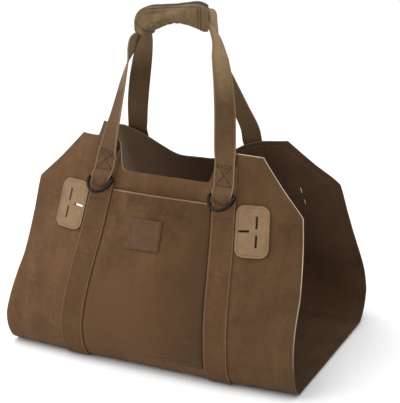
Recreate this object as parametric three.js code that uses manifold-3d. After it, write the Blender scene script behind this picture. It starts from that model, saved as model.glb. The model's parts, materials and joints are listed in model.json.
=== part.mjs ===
// Firewood bag of waxed canvas: a folded panel with open ends, sewn straps, a front pocket, strap handles
// held together by a grip wrap, hinged D-rings and slotted leather patches.
// Millimetres, +Z up, +X along the logs, the front wall faces -Y, origin on the floor under the middle.

import * as THREE from 'three';
import Module from 'manifold-3d';

const wasm = await Module();
wasm.setup();

// Cloth, leather and the gap between layers that are sewn together
const PANEL_THICK = 2;
const POCKET_THICK = 1.8;
const STRAP_THICK = 2;
const STRAP_WIDTH = 34;
const HANDLE_WIDTH = 30;
const LEATHER_THICK = 2;
const LABEL_THICK = 1.2;
const SEAT_GAP = 0.4;

// The straps lie between the panel and the floor
const BASE_HEIGHT = STRAP_THICK + SEAT_GAP;

// Levels of the folded panel, from the floor to the top edge: height, half width of the cut sheet, and how
// far the front and back walls stand from the middle plane at their ends and between the straps
const LEVELS = [
  { height: BASE_HEIGHT, half: 225, frontEnd: 129, frontMid: 135, backEnd: 129, backMid: 133 },
  { height: 22, half: 225, frontEnd: 147, frontMid: 152, backEnd: 149, backMid: 151 },
  { height: 48, half: 225, frontEnd: 153, frontMid: 158, backEnd: 156, backMid: 156 },
  { height: 77, half: 222, frontEnd: 147, frontMid: 156, backEnd: 153, backMid: 149 },
  { height: 107, half: 219, frontEnd: 132, frontMid: 149, backEnd: 139, backMid: 130 },
  { height: 137, half: 216, frontEnd: 110, frontMid: 138, backEnd: 123, backMid: 107 },
  { height: 190, half: 210, frontEnd: 87, frontMid: 115, backEnd: 97, backMid: 72 },
  { height: 239, half: 205, frontEnd: 76, frontMid: 97, backEnd: 73, backMid: 41 },
  { height: 274, half: 173, frontEnd: 68, frontMid: 85, backEnd: 45, backMid: 19.5 },
  { height: 314.5, half: 140, frontEnd: 59, frontMid: 71.5, backEnd: 12.4, backMid: -4.7 },
];

// The corners of the back wall's top edge reach further out, growing over the last levels
const BACK_FLARE = 6;
const FLARE_LEVELS = 2;

// Across the width a wall is straight between the straps and curves towards its ends
const STRAIGHT_HALF = 110;
const END_CURVE = 1.35;

// Top edges of the walls, which dip between the straps: distance from the middle of the dip, and how far the
// edges lie below the last level. All rows but the last two are columns of the panel's mesh.
const DIP_X = 3;
const TOP_EDGE = [
  { out: 0, front: 45, back: 51 },
  { out: 30, front: 45, back: 50 },
  { out: 52, front: 45, back: 36 },
  { out: 66, front: 43, back: 24.5 },
  { out: 70, front: 33, back: 21.6 },
  { out: 74, front: 14, back: 18.6 },
  { out: 79, front: 3, back: 15 },
  { out: 94, front: 0, back: 7.3 },
  { out: 108, front: 0, back: 1.5 },
  { out: 140, front: 4.5, back: 0.5 },
];

// How far down the cloth the rows of the mesh sink with the top edge
const EDGE_REACH = 120;

// Further columns of the panel's mesh, as parts of the way out to its ends
const PANEL_END_PARTS = [0, 0.13, 0.36, 0.62, 1];

// Distance of the straps from the middle on the base, and how far along the cloth they start to close in
const STRAP_BASE_X = 112;
const STRAP_BEND_START = 200;

const FRONT = -1;
const BACK = 1;
const LEFT = -1;
const RIGHT = 1;

// Corners of the bag: distance of the strap from the middle at the last level, how far below that level the
// handle's seam ends and the middle of the leather patch lies, and how far the patch is from the strap
const CORNERS = [
  { name: 'front_left', wall: FRONT, side: LEFT, strapTop: 85.5, seam: 29, patchDrop: 104, clear: 1.5 },
  { name: 'front_right', wall: FRONT, side: RIGHT, strapTop: 90.5, seam: 13, patchDrop: 104, clear: 1.5 },
  { name: 'back_left', wall: BACK, side: LEFT, strapTop: 85.5, seam: 13, patchDrop: 115, clear: 5.5 },
  { name: 'back_right', wall: BACK, side: RIGHT, strapTop: 93.5, seam: 13, patchDrop: 115, clear: 5.5 },
];

// Places on a wall, as drops from its last level along the cloth
const STRAP_END_DROP = { [FRONT]: 15, [BACK]: 24 };
const LOOP_FLAT_DROP = 47;
const RING_DROP = 58;
const POCKET_TOP_DROP = 72;
const POCKET_BOTTOM_DROP = 305;
const LABEL_DROP = 130;

// The end of a handle that is turned up behind stops this far short of the sewn strap's end
const RETURN_STEP = 4;

const POCKET_MOUTH = 14;
const POCKET_COLUMNS = 12;

const PATCH = { width: 46, length: 72, corner: 13, seat: 0.7 };
// Slots of a patch, from its middle: outwards, down the cloth, and the slot's size each way
const SLOTS = [
  { out: 5.5, down: -13, across: 2.6, along: 17 },
  { out: 5.5, down: 13, across: 2.6, along: 17 },
  { out: -11.5, down: 0, across: 13, along: 2.6 },
];
const LABEL = { width: 51, length: 45, corner: 3, x: -9.5 };

const RING_ARC_STEPS = 16;
const RING_CORNER_STEPS = 3;
const RING_SIDES = 8;
const RING = { half: 18.4, drop: 26, corner: 3.5, wire: 4.5, clear: 0.35, swing: 40 };

// Heights of the handle's layers over the wall: the end that is turned up behind, and the strap in front
const RETURN_LAYER = 2 * SEAT_GAP + 1.5 * STRAP_THICK;
const FRONT_LAYER = RETURN_LAYER + SEAT_GAP + STRAP_THICK;
const LOOP_RADIUS = (RING.wire + STRAP_THICK) / 2 + RING.clear;
const BAR_LAYER = RETURN_LAYER + LOOP_RADIUS;

// The handle's loop hangs slack below the bar, and its fold is gathered narrower than the strap
const LOOP_SLACK = 11;
const LOOP_GATHER = 0.25;
const LOOP_BACK_DROP = RING_DROP - 12;
const LOOP_STEPS = 6;

// Free run of each handle from its left to its right anchor: place, bearing of the strap's width and its
// size, pinched narrow and thick inside the grip
const FRONT_HANDLE = [
  { x: -86, y: -86.5, z: 300, bearing: -14, width: HANDLE_WIDTH, thick: 2 },
  { x: -84.5, y: -79, z: 322, bearing: -26, width: HANDLE_WIDTH, thick: 2 },
  { x: -82, y: -70, z: 345, bearing: -37, width: HANDLE_WIDTH, thick: 2 },
  { x: -79.5, y: -61, z: 370, bearing: -46, width: HANDLE_WIDTH, thick: 2 },
  { x: -77, y: -52, z: 395, bearing: -54, width: HANDLE_WIDTH, thick: 2 },
  { x: -72.7, y: -45, z: 420, bearing: -68, width: HANDLE_WIDTH, thick: 2 },
  { x: -69, y: -40, z: 441, bearing: -86, width: 29, thick: 2 },
  { x: -66.5, y: -38, z: 453, bearing: -90, width: 25, thick: 2.5 },
  { x: -60, y: -35.3, z: 462, bearing: -90, width: 15.4, thick: 3.5 },
  { x: -49, y: -35, z: 476, bearing: -90, width: 15, thick: 4 },
  { x: -32, y: -35, z: 483, bearing: -90, width: 15, thick: 4 },
  { x: -12, y: -35, z: 488, bearing: -90, width: 15, thick: 4 },
  { x: 8, y: -35, z: 490, bearing: -90, width: 15, thick: 4 },
  { x: 28, y: -35, z: 489, bearing: -90, width: 15, thick: 4 },
  { x: 40, y: -35, z: 483, bearing: -90, width: 15.4, thick: 3.5 },
  { x: 50, y: -35.4, z: 477, bearing: -91, width: 15.8, thick: 3 },
  { x: 57, y: -36.5, z: 466, bearing: -94, width: 20, thick: 2.5 },
  { x: 61.5, y: -37, z: 453, bearing: -99, width: 26, thick: 2 },
  { x: 65.5, y: -41, z: 436, bearing: -111, width: HANDLE_WIDTH, thick: 2 },
  { x: 73.5, y: -49, z: 406, bearing: -126, width: HANDLE_WIDTH, thick: 2 },
  { x: 82, y: -61.5, z: 368, bearing: -141, width: HANDLE_WIDTH, thick: 2 },
  { x: 88, y: -74, z: 330, bearing: -158, width: HANDLE_WIDTH, thick: 2 },
];
const BACK_HANDLE = [
  { x: -82, y: -0.5, z: 345, bearing: 192, width: HANDLE_WIDTH, thick: 2 },
  { x: -74, y: -9, z: 384, bearing: 213, width: HANDLE_WIDTH, thick: 2 },
  { x: -65, y: -16.5, z: 420, bearing: 233, width: HANDLE_WIDTH, thick: 2 },
  { x: -60.4, y: -18.5, z: 442, bearing: 251, width: 29, thick: 2 },
  { x: -58.5, y: -18.7, z: 454, bearing: 257, width: 24, thick: 2.5 },
  { x: -54, y: -18.8, z: 465, bearing: 270, width: 15.4, thick: 3.5 },
  { x: -46, y: -19, z: 476.5, bearing: 270, width: 15, thick: 4 },
  { x: -32, y: -19, z: 483, bearing: 270, width: 15, thick: 4 },
  { x: -12, y: -19, z: 488, bearing: 270, width: 15, thick: 4 },
  { x: 8, y: -19, z: 490.5, bearing: 270, width: 15, thick: 4 },
  { x: 28, y: -19, z: 494.5, bearing: 270, width: 15, thick: 4 },
  { x: 39, y: -19, z: 495.5, bearing: 270, width: 15.4, thick: 3.5 },
  { x: 43.5, y: -17, z: 489.5, bearing: 270, width: 18.5, thick: 3 },
  { x: 45.5, y: -16, z: 473, bearing: 271, width: 20.5, thick: 2.5 },
  { x: 50, y: -16.5, z: 455, bearing: 286, width: 27, thick: 2 },
  { x: 53.5, y: -16.5, z: 435, bearing: 308, width: HANDLE_WIDTH, thick: 2 },
  { x: 64.5, y: -12, z: 402, bearing: 332, width: HANDLE_WIDTH, thick: 2 },
  { x: 80, y: -4, z: 360, bearing: 348, width: HANDLE_WIDTH, thick: 2 },
  { x: 92.5, y: 3, z: 328, bearing: 356, width: HANDLE_WIDTH, thick: 2 },
];
const HANDLE_STEPS = 44;

// Sections of the grip wrap: middle of the section, slope of its axis, how far its front leads, half
// thickness and half depth of the outside, and the same of the inside, narrowest where it holds the straps
const WRAP_Y = -27;
const WRAP = [
  { x: -55.8, z: 460, slope: 67, lead: 0, thick: 10.6, deep: 20, inThick: 8.2, inDeep: 18 },
  { x: -54.5, z: 473, slope: 46, lead: 0, thick: 13.8, deep: 20, inThick: 11.2, inDeep: 17.5 },
  { x: -48, z: 477.8, slope: 29, lead: 0, thick: 17.2, deep: 20, inThick: 13.5, inDeep: 17 },
  { x: -32, z: 483, slope: 11, lead: 0, thick: 15, deep: 19.5, inThick: 8, inDeep: 16.6 },
  { x: -12, z: 488, slope: 12, lead: 1, thick: 12.6, deep: 19, inThick: 3, inDeep: 16.6 },
  { x: 6.5, z: 490, slope: 6, lead: 3, thick: 13.7, deep: 19, inThick: 6, inDeep: 16.6 },
  { x: 25.5, z: 489.3, slope: 2, lead: 6, thick: 17.6, deep: 19.5, inThick: 13.8, inDeep: 17 },
  { x: 35, z: 487, slope: 1, lead: 8, thick: 18.6, deep: 20, inThick: 15.6, inDeep: 17.8 },
  { x: 41.5, z: 486, slope: 0, lead: 8.7, thick: 16.6, deep: 19.8, inThick: 14.4, inDeep: 17.8 },
];
const WRAP_SIDES = 16;
const WRAP_ROUND = 0.6;
const WRAP_INNER_ROUND = 0.3;

// Materials
function finish(color, roughness, metalness = 0) {
  return new THREE.MeshStandardMaterial({ color, roughness, metalness });
}
const CANVAS = finish('#6b5240', 0.8);
const STRAP = finish('#66503d', 0.8);
const GRIP = finish('#7d6950', 0.8);
const PATCH_LEATHER = finish('#a08769', 0.65);
const LABEL_LEATHER = finish('#644b3c', 0.6);
const BLACK_METAL = finish('#1c1c1e', 0.35, 0.9);

// The folded sheet: one curve down the middle and one along the ends, from the front to the back top edge
const foldLine = (front, back) => new THREE.CatmullRomCurve3([
  ...LEVELS.map((level) => new THREE.Vector3(0, -level[front], level.height)).reverse(),
  new THREE.Vector3(0, 0, BASE_HEIGHT),
  ...LEVELS.map((level) => new THREE.Vector3(0, level[back], level.height)),
]);
const FOLD_DIVISIONS = 40 * LEVELS.length;
const midLine = foldLine('frontMid', 'backMid');
const endLine = foldLine('frontEnd', 'backEnd');
midLine.arcLengthDivisions = FOLD_DIVISIONS;
const foldLengths = midLine.getLengths(FOLD_DIVISIONS);
const FRONT_LENGTH = foldLengths[FOLD_DIVISIONS / 2];
const BACK_LENGTH = foldLengths[FOLD_DIVISIONS] - FRONT_LENGTH;

// Lines of the mesh along the cloth, measured from the middle of the base, two to each level
const ROWS_PER_LEVEL = 2;
const FOLD_ROWS = foldLengths
  .filter((length, i) => i % (FOLD_DIVISIONS / (2 * ROWS_PER_LEVEL * LEVELS.length)) === 0)
  .map((length) => length - FRONT_LENGTH);

const wallLength = (wall) => (wall === FRONT ? FRONT_LENGTH : BACK_LENGTH);

// Distance along the cloth of a place that lies this far below a wall's top edge
const below = (wall, drop) => wall * (wallLength(wall) - drop);

// Place of a distance along the cloth between the first and the last level, as a part of the curve
function foldAt(s) {
  const length = THREE.MathUtils.clamp(s + FRONT_LENGTH, 0.001, foldLengths[FOLD_DIVISIONS]);
  return midLine.getUtoTmapping(0, length);
}

// Half width of the cut sheet at a distance along the cloth
function halfWidth(s) {
  const level = Math.abs(foldAt(s) * 2 - 1) * LEVELS.length - 1;
  if (level <= 0) return LEVELS[0].half;
  const row = Math.min(Math.floor(level), LEVELS.length - 2);
  const flare = s < 0 ? 0 : BACK_FLARE * Math.max(1 - (LEVELS.length - 1 - level) / FLARE_LEVELS, 0);
  return THREE.MathUtils.lerp(LEVELS[row].half, LEVELS[row + 1].half, level - row) + flare;
}

// Point of the panel's outer face
function facePoint(x, s) {
  const t = foldAt(s);
  const spread = (Math.abs(x) - STRAIGHT_HALF) / (halfWidth(s) - STRAIGHT_HALF);
  const point = midLine.getPoint(t).lerp(endLine.getPoint(t), Math.max(spread, 0) ** END_CURVE);
  return new THREE.Vector3(x, point.y, Math.max(point.z, BASE_HEIGHT));
}

// Point at a height over the panel's outer face
function place(x, s, height) {
  const step = 0.5;
  const across = facePoint(x + step, s).sub(facePoint(x - step, s));
  const along = facePoint(x, s + step).sub(facePoint(x, s - step));
  return facePoint(x, s).addScaledVector(along.cross(across).normalize(), height);
}

const cornerAt = (wall, side) => CORNERS.find((corner) => corner.wall === wall && corner.side === side);

// Middle line of a strap on the sheet
function strapX(side, s) {
  const wall = s < 0 ? FRONT : BACK;
  const run = wallLength(wall) - STRAP_BEND_START;
  const part = THREE.MathUtils.clamp((Math.abs(s) - STRAP_BEND_START) / run, 0, 1);
  return side * THREE.MathUtils.lerp(STRAP_BASE_X, cornerAt(wall, side).strapTop, part);
}

// Closed skin through rings with equal point counts: a loop of rings, or a row of them with both ends capped
function skin(rings, loop = false) {
  const count = rings[0].length;
  const index = [];
  const quad = (a, b, c, d) => index.push(a, b, c, a, c, d);
  const links = loop ? rings.length : rings.length - 1;
  for (let i = 0; i < links; i++) {
    const near = i * count;
    const far = ((i + 1) % rings.length) * count;
    for (let k = 0; k < count; k++) {
      const next = (k + 1) % count;
      quad(near + k, near + next, far + next, far + k);
    }
  }
  const last = (rings.length - 1) * count;
  for (let k = 0; !loop && k < count / 2 - 1; k++) {
    const mirror = count - 1 - k;
    quad(k, mirror, mirror - 1, k + 1);
    quad(last + k, last + k + 1, last + mirror - 1, last + mirror);
  }
  const points = rings.flat();
  let volume = 0;
  for (let i = 0; i < index.length; i += 3) {
    const [a, b, c] = index.slice(i, i + 3).map((corner) => points[corner]);
    volume += a.dot(b.clone().cross(c));
  }
  if (volume < 0) index.reverse();
  return new THREE.BufferGeometry().setFromPoints(points).setIndex(index);
}

// The geometry less some closed cutters
function cut(geometry, cutters) {
  const solid = ({ attributes, index }) => new wasm.Manifold(new wasm.Mesh({
    numProp: 3,
    vertProperties: new Float32Array(attributes.position.array),
    triVerts: new Uint32Array(index.array),
  }));
  const body = cutters.reduce((rest, cutter) => rest.subtract(solid(cutter)), solid(geometry));
  const mesh = body.getMesh();
  const result = new THREE.BufferGeometry();
  result.setAttribute('position', new THREE.BufferAttribute(mesh.vertProperties, 3));
  return result.setIndex(new THREE.BufferAttribute(mesh.triVerts, 1));
}

// Ring round a strip of cloth: its outer side across the spots, then its inner side back
function sheetRing(spots, outer, inner) {
  return [
    ...spots.map(({ x, s }) => place(x, s, outer(x, s))),
    ...spots.toReversed().map(({ x, s }) => place(x, s, inner(x, s))),
  ];
}

// Mesh rows from one distance along the cloth to another
const rowsBetween = (from, to) => [from, ...FOLD_ROWS.filter((s) => s > from + 2 && s < to - 2), to];

// Evenly spaced numbers
function spaced(from, to, steps) {
  return Array.from({ length: steps + 1 }, (_, i) => from + ((to - from) * i) / steps);
}

// Body panel: its outer columns follow the cut corners, and its upper rows sink with the top edge
function panel() {
  const drops = TOP_EDGE.flatMap(({ front, back }) => [front, back]);
  const topEdge = new THREE.LinearInterpolant(TOP_EDGE.map(({ out }) => out), drops, 2);
  const inner = TOP_EDGE.slice(0, -2).map(({ out }) => out);
  const rings = FOLD_ROWS.map((s) => {
    const wall = Math.sign(s) || BACK;
    const sunk = Math.max(1 - (wallLength(wall) - Math.abs(s)) / EDGE_REACH, 0);
    const column = (side) => [
      ...inner.map((out) => DIP_X + side * out),
      ...PANEL_END_PARTS.map((part) => side * THREE.MathUtils.lerp(STRAIGHT_HALF, halfWidth(s), part)),
    ];
    const spots = [...column(LEFT).toReversed(), ...column(RIGHT).slice(1)].map((x) => {
      const [front, back] = topEdge.evaluate(Math.abs(x - DIP_X));
      return { x, s: s - wall * sunk * (wall === FRONT ? front : back) };
    });
    return sheetRing(spots, () => 0, () => -PANEL_THICK);
  });
  return skin(rings);
}

// Sewn strap under the base, from one wall's handle anchor to the other's
function strap(side) {
  const rows = rowsBetween(...[FRONT, BACK].map((wall) => below(wall, STRAP_END_DROP[wall])));
  return skin(rows.map((s) => {
    const spots = spaced(-0.5, 0.5, 3).map((part) => ({ x: strapX(side, s) + part * STRAP_WIDTH, s }));
    return sheetRing(spots, () => SEAT_GAP + STRAP_THICK, () => SEAT_GAP);
  }));
}

// Edges of the pocket, against the straps
function pocketSides(s) {
  const clear = STRAP_WIDTH / 2 + SEAT_GAP;
  return { left: strapX(LEFT, s) + clear, right: strapX(RIGHT, s) - clear };
}

// Height of the pocket's inner side: sewn flat at its sides and bottom, standing open at the mouth
function pocketHeight(x, s) {
  const { left, right } = pocketSides(s);
  const top = below(FRONT, POCKET_TOP_DROP);
  const bottom = below(FRONT, POCKET_BOTTOM_DROP);
  const rise = THREE.MathUtils.clamp((s - bottom) / (top - bottom), 0, 1);
  const across = (2 * x - left - right) / (right - left);
  const bulge = Math.max(1 - across ** 2, 0) ** 2;
  return SEAT_GAP + POCKET_MOUTH * bulge * Math.sin((rise * Math.PI) / 2);
}

function pocket() {
  const rows = rowsBetween(below(FRONT, POCKET_TOP_DROP), below(FRONT, POCKET_BOTTOM_DROP));
  return skin(rows.map((s) => {
    const { left, right } = pocketSides(s);
    const spots = spaced(left, right, POCKET_COLUMNS).map((x) => ({ x, s }));
    return sheetRing(spots, (x) => pocketHeight(x, s) + POCKET_THICK, (x) => pocketHeight(x, s));
  }));
}

// Flat leather piece with round corners, its middle at a drop on a wall, on top of what lies at a height
function leatherPiece(wall, drop, middleX, { width, length, corner }, height, thick) {
  const turns = spaced(0, Math.PI / 2, 3);
  const ends = turns.map((turn) => ({
    down: length / 2 - corner * (1 - Math.cos(turn)),
    half: width / 2 - corner * (1 - Math.sin(turn)),
  }));
  const straight = spaced(length / 2 - corner, corner - length / 2, 3).slice(1, -1);
  const rows = [
    ...ends,
    ...straight.map((down) => ({ down, half: width / 2 })),
    ...ends.toReversed().map(({ down, half }) => ({ down: -down, half })),
  ];
  return skin(rows.map(({ down, half }) => {
    const s = below(wall, drop + down);
    const spots = spaced(-half, half, 5).map((out) => ({ x: middleX(s) + out, s }));
    return sheetRing(spots, (x) => height(x, s) + thick, (x) => height(x, s));
  }));
}

// Middle line of a patch, which lies outside a strap
function patchX({ side, clear }, s) {
  return strapX(side, s) + side * (STRAP_WIDTH / 2 + clear + PATCH.width / 2);
}

function patch(corner) {
  const middleX = (s) => patchX(corner, s);
  return leatherPiece(corner.wall, corner.patchDrop, middleX, PATCH, () => PATCH.seat, LEATHER_THICK);
}

function label() {
  const height = (x, s) => pocketHeight(x, s) + POCKET_THICK + SEAT_GAP;
  return leatherPiece(FRONT, LABEL_DROP, () => LABEL.x, LABEL, height, LABEL_THICK);
}

// Cutters of one patch's slots, right through the leather and the panel behind it
function slotCutters(corner) {
  const reach = 3 * (PANEL_THICK + LEATHER_THICK);
  return SLOTS.map(({ out, down, across, along }) => {
    const spots = [[-0.5, -0.5], [0.5, -0.5], [0.5, 0.5], [-0.5, 0.5]].map(([right, low]) => {
      const s = below(corner.wall, corner.patchDrop + down + low * along);
      return { x: patchX(corner, s) + corner.side * out + right * across, s };
    });
    return skin([-reach, reach].map((height) => spots.map(({ x, s }) => place(x, s, height))));
  });
}

// Anchor of a handle on a wall: down from the end that is turned up behind, round the ring's bar in a slack
// loop and up the front
function anchor({ wall, side, seam }) {
  const flat = (from, to, steps, height) => spaced(from, to, steps)
    .map((drop) => ({ drop, height, width: HANDLE_WIDTH }));
  const loop = spaced(-Math.PI / 2, Math.PI / 2, LOOP_STEPS).map((angle) => ({
    drop: RING_DROP + LOOP_SLACK * Math.cos(angle),
    height: BAR_LAYER + LOOP_RADIUS * Math.sin(angle),
    width: HANDLE_WIDTH * (1 - LOOP_GATHER * Math.cos(angle)),
  }));
  const closing = spaced(RING_DROP, LOOP_FLAT_DROP, 4).slice(1).map((drop) => {
    const part = THREE.MathUtils.smoothstep(drop, LOOP_FLAT_DROP, RING_DROP);
    const height = THREE.MathUtils.lerp(FRONT_LAYER, BAR_LAYER + LOOP_RADIUS, part);
    return { drop, height, width: HANDLE_WIDTH };
  });
  const line = [
    ...flat(STRAP_END_DROP[wall] + RETURN_STEP, LOOP_BACK_DROP, 2, RETURN_LAYER),
    ...loop,
    ...closing,
    ...flat(LOOP_FLAT_DROP, seam, 3, FRONT_LAYER).slice(1),
  ];
  return line.map(({ drop, height, width }, i) => {
    const before = line[Math.max(i - 1, 0)];
    const after = line[Math.min(i + 1, line.length - 1)];
    const way = new THREE.Vector2(after.drop - before.drop, after.height - before.height).normalize();
    const middle = strapX(side, below(wall, drop));
    const corner = (edge, face) => {
      const x = middle + (edge * side * wall * width) / 2;
      const s = below(wall, drop + (face * way.y * STRAP_THICK) / 2);
      return place(x, s, height - (face * way.x * STRAP_THICK) / 2);
    };
    return [corner(-1, 1), corner(1, 1), corner(1, -1), corner(-1, -1)];
  });
}

// Handle: one strap from the left anchor through the grip to the right anchor
function handle(wall, run) {
  const left = anchor(cornerAt(wall, LEFT));
  const right = anchor(cornerAt(wall, RIGHT)).reverse();
  const middle = (ring) => ring
    .reduce((sum, point) => sum.add(point), new THREE.Vector3())
    .divideScalar(ring.length);
  const wallSize = { width: HANDLE_WIDTH, thick: STRAP_THICK };
  const first = { ...middle(left.at(-1)), bearing: wall === FRONT ? 0 : 180, ...wallSize };
  const last = { ...middle(right[0]), bearing: wall === FRONT ? -180 : 360, ...wallSize };
  const rows = [first, ...run, last];
  const path = new THREE.CatmullRomCurve3(rows.map(({ x, y, z }) => new THREE.Vector3(x, y, z)));
  const form = new THREE.CatmullRomCurve3(
    rows.map(({ bearing, width, thick }) => new THREE.Vector3(bearing, width, thick)),
  );
  const free = spaced(0, 1, HANDLE_STEPS).slice(1, -1).map((t) => {
    const { x: bearing, y: width, z: thick } = form.getPoint(t);
    const angle = THREE.MathUtils.degToRad(bearing);
    const way = path.getTangent(t);
    const across = new THREE.Vector3(Math.cos(angle), Math.sin(angle), 0);
    across.addScaledVector(way, -across.dot(way)).normalize();
    const out = across.clone().cross(way);
    const corner = (edge, face) => path.getPoint(t)
      .addScaledVector(across, (edge * width) / 2)
      .addScaledVector(out, (face * thick) / 2);
    return [corner(-1, 1), corner(1, 1), corner(1, -1), corner(-1, -1)];
  });
  return skin([...left, ...free, ...right]);
}

// Section of the grip wrap as a flattened ring
function wrapRing({ x, z, slope, lead }, thick, deep, round) {
  const angle = THREE.MathUtils.degToRad(slope);
  const power = (value) => Math.sign(value) * Math.abs(value) ** round;
  return spaced(0, 2 * Math.PI, WRAP_SIDES).slice(0, -1).map((turn) => {
    const up = thick * power(Math.sin(turn));
    const back = power(Math.cos(turn));
    return new THREE.Vector3(
      x - up * Math.sin(angle) - lead * back,
      WRAP_Y + deep * back,
      z + up * Math.cos(angle),
    );
  });
}

function gripWrap() {
  const outside = WRAP.map((row) => wrapRing(row, row.thick, row.deep, WRAP_ROUND));
  const inside = WRAP.map((row) => wrapRing(row, row.inThick, row.inDeep, WRAP_INNER_ROUND));
  return skin([...outside, ...inside.reverse()], true);
}

// D-ring about its bar, which lies on X, with the round side hanging down
function dRing() {
  const { half, drop, corner, wire } = RING;
  const arc = spaced(0, Math.PI, RING_ARC_STEPS).map((turn) => ({
    x: half * Math.cos(turn),
    z: -corner - (drop - corner) * Math.sin(turn),
  }));
  const leftCorner = spaced(0, Math.PI / 2, RING_CORNER_STEPS).slice(1).map((turn) => ({
    x: -half + corner * (1 - Math.cos(turn)),
    z: -corner * (1 - Math.sin(turn)),
  }));
  const rightCorner = leftCorner.toReversed().map(({ x, z }) => ({ x: -x, z }));
  const line = [...arc, ...leftCorner, ...rightCorner].map(({ x, z }) => new THREE.Vector3(x, 0, z));
  const side = new THREE.Vector3(0, 1, 0);
  return skin(line.map((point, i) => {
    const way = line[(i + 1) % line.length].clone().sub(line.at(i - 1)).normalize();
    const out = way.clone().cross(side);
    return spaced(0, 2 * Math.PI, RING_SIDES).slice(0, -1).map((turn) => point.clone()
      .addScaledVector(out, (wire / 2) * Math.cos(turn))
      .addScaledVector(side, (wire / 2) * Math.sin(turn)));
  }), true);
}

// The bag
const bag = new THREE.Group();
function add(name, geometry, material) {
  const mesh = new THREE.Mesh(geometry, material);
  mesh.name = name;
  bag.add(mesh);
  return mesh;
}

add('body_panel', cut(panel(), CORNERS.flatMap(slotCutters)), CANVAS);
add('pocket', pocket(), CANVAS);
add('label_patch', label(), LABEL_LEATHER);
add('strap_left', strap(LEFT), STRAP);
add('strap_right', strap(RIGHT), STRAP);
add('handle_front', handle(FRONT, FRONT_HANDLE), STRAP);
add('handle_back', handle(BACK, BACK_HANDLE), STRAP);
add('grip_wrap', gripWrap(), GRIP);

for (const corner of CORNERS) {
  add(`lash_patch_${corner.name}`, cut(patch(corner), slotCutters(corner)), PATCH_LEATHER);
}

// Each D-ring stands out by its swing from the place where its round side would lie on the strap
const LYING_LAYER = STRAP_THICK + 2 * SEAT_GAP + RING.wire / 2;
for (const { name, wall, side } of CORNERS) {
  const ring = add(`d_ring_${name}`, dRing(), BLACK_METAL);
  const s = below(wall, RING_DROP);
  const x = strapX(side, s);
  ring.position.copy(place(x, s, BAR_LAYER));
  const down = place(x, below(wall, RING_DROP + RING.drop), LYING_LAYER).sub(ring.position);
  ring.rotation.x = Math.atan2(down.y, -down.z) + wall * THREE.MathUtils.degToRad(RING.swing);
}

export default bag;
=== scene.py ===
import json
import math

import bmesh
import bpy
import numpy as np
from mathutils import Matrix, Vector


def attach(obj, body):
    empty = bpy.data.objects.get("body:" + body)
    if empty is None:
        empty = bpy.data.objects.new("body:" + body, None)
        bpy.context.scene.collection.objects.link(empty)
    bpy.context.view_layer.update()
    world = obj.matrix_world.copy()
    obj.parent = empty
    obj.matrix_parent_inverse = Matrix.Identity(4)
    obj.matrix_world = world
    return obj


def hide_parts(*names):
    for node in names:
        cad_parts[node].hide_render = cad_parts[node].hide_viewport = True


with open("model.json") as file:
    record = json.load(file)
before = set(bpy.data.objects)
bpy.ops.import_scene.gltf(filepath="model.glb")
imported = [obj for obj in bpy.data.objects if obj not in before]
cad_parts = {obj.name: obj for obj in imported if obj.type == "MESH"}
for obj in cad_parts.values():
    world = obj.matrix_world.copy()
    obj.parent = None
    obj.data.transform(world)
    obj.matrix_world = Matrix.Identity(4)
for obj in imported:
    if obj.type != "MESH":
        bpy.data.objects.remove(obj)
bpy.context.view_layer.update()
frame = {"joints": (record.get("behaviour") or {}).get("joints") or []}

# Body panel
# One sheet of waxed cotton canvas, cut about 450 by 970 mm and folded up into a front wall, a flat base and
# a back wall, open at both ends. Its outer corners are cut off, each top edge dips between the straps, and
# the raw edges are stitched all round. Sizes are in millimetres.
MM = 0.001
PANEL_THICK = 2.0
BASE_HEIGHT = 2.4
# Height of a level of the folded sheet, half width of the cut there, and how far the front and the back wall
# stand from the middle plane at their ends and between the straps
LEVEL_HEIGHT, HALF, FRONT_END, FRONT_MID, BACK_END, BACK_MID = range(6)
LEVELS = np.array([
    (BASE_HEIGHT, 225, 129, 135, 129, 133),
    (22, 225, 147, 152, 149, 151),
    (48, 225, 153, 158, 156, 156),
    (77, 222, 147, 156, 153, 149),
    (107, 219, 132, 149, 139, 130),
    (137, 216, 110, 138, 123, 107),
    (190, 210, 87, 115, 97, 72),
    (239, 205, 76, 97, 73, 41),
    (274, 173, 68, 85, 45, 19.5),
    (314.5, 140, 59, 71.5, 12.4, -4.7),
])
# The corners of the back wall's top edge reach further out, growing over the last levels
BACK_FLARE, FLARE_LEVELS = 6, 2
SHEET_HALF = 225
# The walls are straight across their middle, and curve in towards their ends
STRAIGHT_HALF = 110
END_CURVE = 1.35
FRONT, BACK, LEFT, RIGHT = -1, 1, -1, 1
# Top edges of the walls, which dip between the straps: distance from the middle of the dip, and how far the
# front and the back edge lie below the last level. The rows of the cloth follow the edge, and less so
# further down, over a reach below it.
DIP_X, EDGE_REACH = 3, 120
TOP_EDGE = np.array([
    (0, 45, 51),
    (30, 45, 50),
    (52, 45, 36),
    (66, 43, 24.5),
    (70, 33, 21.6),
    (74, 14, 18.6),
    (79, 3, 15),
    (94, 0, 7.3),
    (108, 0, 1.5),
    (140, 4.5, 0.5),
])
# The cloth gives at its left: the back wall's top corner sags, and the front wall's end is pulled up. Each
# grows between two distances from the middle, and the pull also between two distances up the cloth.
EAR_SAG, EAR_X = 7, (95, 142)
LEFT_PULL, PULL_X, PULL_RISE = 5, (100, 180), (120, 250)


def smoothstep(value, start, end):
    part = np.clip((value - start) / (end - start), 0, 1)
    return part * part * (3 - 2 * part)


def hump(value, middle, spread):
    return np.exp(-(((value - middle) / spread) ** 2))


def unit(vectors):
    return vectors / np.linalg.norm(vectors, axis=-1, keepdims=True)


# A step of a smooth line with a root under this counts as none
NO_STEP = 1e-4


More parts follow.
